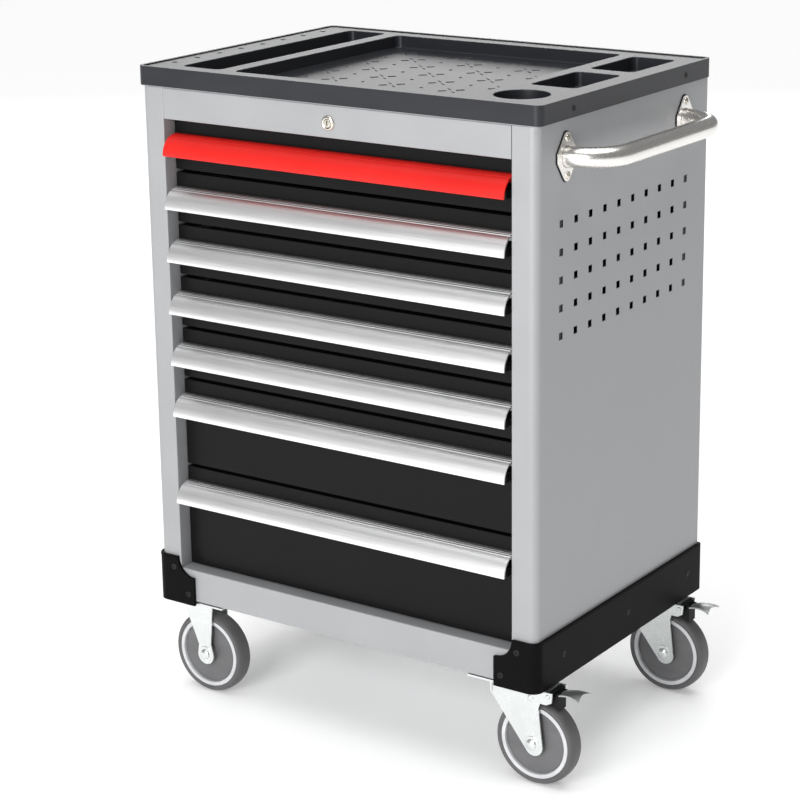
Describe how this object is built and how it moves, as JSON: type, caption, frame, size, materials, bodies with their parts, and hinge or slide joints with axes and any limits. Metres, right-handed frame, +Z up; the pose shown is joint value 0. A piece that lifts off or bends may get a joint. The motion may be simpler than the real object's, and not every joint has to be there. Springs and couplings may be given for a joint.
{
  "type": "rolling tool chest",
  "caption": "Wheeled steel tool cabinet with sliding drawers, moulded worktop tray, side push handle, perforated sides and braked swivel casters.",
  "frame": {"origin": "on the floor, under the centre of the object's bounding box; the cabinet's own centre is at X -0.0345, Y +0.003", "axes": "+Z up, drawers open towards -Y, push handle and swivel casters on the +X side"},
  "size_m": [0.739, 0.4806, 0.958],
  "materials": {
    "cabinet_paint": "silver-grey powder coat, satin",
    "drawer_paint": "black powder coat, satin",
    "tray_plastic": "dark charcoal moulded plastic",
    "skirt_plastic": "black moulded plastic",
    "pull_red": "red, satin",
    "pull_aluminium": "satin extrusion",
    "latch_plastic": "black plastic",
    "handle_steel": "brushed stainless tube",
    "caster_zinc": "bright zinc plate",
    "slide_steel": "zinc-plated steel",
    "lock_nickel": "polished nickel",
    "tyre_rubber": "grey thermoplastic rubber",
    "wheel_plastic": "grey plastic"
  },
  "bodies": {
    "cabinet": {"left_side_panel": "cabinet_paint", "right_side_panel": "cabinet_paint", "header_rail": "cabinet_paint", "bottom_rail": "cabinet_paint", "floor_pan": "cabinet_paint", "back_panel": "cabinet_paint", "top_panel": "cabinet_paint", "worktop_tray": "tray_plastic", "left_skirt": "skirt_plastic", "right_skirt": "skirt_plastic", "left_slide_rack": "slide_steel", "right_slide_rack": "slide_steel", "lock_barrel": "lock_nickel", "side_handle": "handle_steel", "front_handle_flange": "handle_steel", "rear_handle_flange": "handle_steel", "front_left_fork": "caster_zinc", "front_left_axle": "caster_zinc", "rear_left_fork": "caster_zinc", "rear_left_axle": "caster_zinc", "front_right_caster_plate": "caster_zinc", "rear_right_caster_plate": "caster_zinc"},
    "drawer_1": {"drawer_1": "drawer_paint", "drawer_1_pull": "pull_red"},
    "drawer_2": {"drawer_2": "drawer_paint", "drawer_2_pull": "pull_aluminium"},
    "drawer_3": {"drawer_3": "drawer_paint", "drawer_3_pull": "pull_aluminium"},
    "drawer_4": {"drawer_4": "drawer_paint", "drawer_4_pull": "pull_aluminium"},
    "drawer_5": {"drawer_5": "drawer_paint", "drawer_5_pull": "pull_aluminium"},
    "drawer_6": {"drawer_6": "drawer_paint", "drawer_6_pull": "pull_aluminium"},
    "drawer_7": {"drawer_7": "drawer_paint", "drawer_7_pull": "pull_aluminium"},
    "drawer_1_latch": {"drawer_1_latch": "latch_plastic"},
    "drawer_2_latch": {"drawer_2_latch": "latch_plastic"},
    "drawer_3_latch": {"drawer_3_latch": "latch_plastic"},
    "drawer_4_latch": {"drawer_4_latch": "latch_plastic"},
    "drawer_5_latch": {"drawer_5_latch": "latch_plastic"},
    "drawer_6_latch": {"drawer_6_latch": "latch_plastic"},
    "drawer_7_latch": {"drawer_7_latch": "latch_plastic"},
    "lock": {"lock_plug": "lock_nickel", "lock_rod": "slide_steel"},
    "locking_bar": {"locking_bar": "slide_steel"},
    "front_left_wheel": {"front_left_wheel": "wheel_plastic", "front_left_tyre": "tyre_rubber"},
    "rear_left_wheel": {"rear_left_wheel": "wheel_plastic", "rear_left_tyre": "tyre_rubber"},
    "front_right_caster": {"front_right_fork": "caster_zinc", "front_right_axle": "caster_zinc"},
    "rear_right_caster": {"rear_right_fork": "caster_zinc", "rear_right_axle": "caster_zinc"},
    "front_right_wheel": {"front_right_wheel": "wheel_plastic", "front_right_tyre": "tyre_rubber"},
    "rear_right_wheel": {"rear_right_wheel": "wheel_plastic", "rear_right_tyre": "tyre_rubber"},
    "front_right_brake": {"front_right_brake_pedal": "caster_zinc"},
    "rear_right_brake": {"rear_right_brake_pedal": "caster_zinc"}
  },
  "joints": [
    {"name": "drawer_1_slide", "type": "slide", "parent": "cabinet", "child": "drawer_1", "axis": [0, -1, 0], "range_m": [0, 0.3]},
    {"name": "drawer_2_slide", "type": "slide", "parent": "cabinet", "child": "drawer_2", "axis": [0, -1, 0], "range_m": [0, 0.3]},
    {"name": "drawer_3_slide", "type": "slide", "parent": "cabinet", "child": "drawer_3", "axis": [0, -1, 0], "range_m": [0, 0.3]},
    {"name": "drawer_4_slide", "type": "slide", "parent": "cabinet", "child": "drawer_4", "axis": [0, -1, 0], "range_m": [0, 0.3]},
    {"name": "drawer_5_slide", "type": "slide", "parent": "cabinet", "child": "drawer_5", "axis": [0, -1, 0], "range_m": [0, 0.3]},
    {"name": "drawer_6_slide", "type": "slide", "parent": "cabinet", "child": "drawer_6", "axis": [0, -1, 0], "range_m": [0, 0.3]},
    {"name": "drawer_7_slide", "type": "slide", "parent": "cabinet", "child": "drawer_7", "axis": [0, -1, 0], "range_m": [0, 0.3]},
    {"name": "drawer_1_latch_slide", "type": "slide", "parent": "drawer_1", "child": "drawer_1_latch", "axis": [-1, 0, 0], "range_m": [0, 0.008]},
    {"name": "drawer_2_latch_slide", "type": "slide", "parent": "drawer_2", "child": "drawer_2_latch", "axis": [-1, 0, 0], "range_m": [0, 0.008]},
    {"name": "drawer_3_latch_slide", "type": "slide", "parent": "drawer_3", "child": "drawer_3_latch", "axis": [-1, 0, 0], "range_m": [0, 0.008]},
    {"name": "drawer_4_latch_slide", "type": "slide", "parent": "drawer_4", "child": "drawer_4_latch", "axis": [-1, 0, 0], "range_m": [0, 0.008]},
    {"name": "drawer_5_latch_slide", "type": "slide", "parent": "drawer_5", "child": "drawer_5_latch", "axis": [-1, 0, 0], "range_m": [0, 0.008]},
    {"name": "drawer_6_latch_slide", "type": "slide", "parent": "drawer_6", "child": "drawer_6_latch", "axis": [-1, 0, 0], "range_m": [0, 0.008]},
    {"name": "drawer_7_latch_slide", "type": "slide", "parent": "drawer_7", "child": "drawer_7_latch", "axis": [-1, 0, 0], "range_m": [0, 0.008]},
    {"name": "lock_turn", "type": "hinge", "parent": "cabinet", "child": "lock", "pos_m": [-0.0345, -0.2295, 0.9052], "axis": [0, 1, 0], "range_deg": [0, 90]},
    {"name": "locking_bar_slide", "type": "slide", "parent": "cabinet", "child": "locking_bar", "axis": [0, 0, -1], "range_m": [0, 0.01415]},
    {"name": "front_left_wheel_spin", "type": "hinge", "parent": "cabinet", "child": "front_left_wheel", "pos_m": [-0.3045, -0.186, 0.0625], "axis": [0, 1, 0], "continuous": true},
    {"name": "rear_left_wheel_spin", "type": "hinge", "parent": "cabinet", "child": "rear_left_wheel", "pos_m": [-0.3045, 0.192, 0.0625], "axis": [0, 1, 0], "continuous": true},
    {"name": "front_right_swivel", "type": "hinge", "parent": "cabinet", "child": "front_right_caster", "pos_m": [0.2355, -0.186, 0.0625], "axis": [0, 0, 1], "continuous": true},
    {"name": "rear_right_swivel", "type": "hinge", "parent": "cabinet", "child": "rear_right_caster", "pos_m": [0.2355, 0.192, 0.0625], "axis": [0, 0, 1], "continuous": true},
    {"name": "front_right_wheel_spin", "type": "hinge", "parent": "front_right_caster", "child": "front_right_wheel", "pos_m": [0.274, -0.186, 0.0625], "axis": [0, 1, 0], "continuous": true},
    {"name": "rear_right_wheel_spin", "type": "hinge", "parent": "rear_right_caster", "child": "rear_right_wheel", "pos_m": [0.274, 0.192, 0.0625], "axis": [0, 1, 0], "continuous": true},
    {"name": "front_right_brake_press", "type": "hinge", "parent": "front_right_caster", "child": "front_right_brake", "pos_m": [0.2995, -0.186, 0.139], "axis": [0, 1, 0], "range_deg": [0, 9]},
    {"name": "rear_right_brake_press", "type": "hinge", "parent": "rear_right_caster", "child": "rear_right_brake", "pos_m": [0.2995, 0.192, 0.139], "axis": [0, 1, 0], "range_deg": [0, 9]}
  ],
  "couplings": [
    {"joint": "locking_bar_slide", "follows": "lock_turn", "m_per_rad": 0.009}
  ]
}
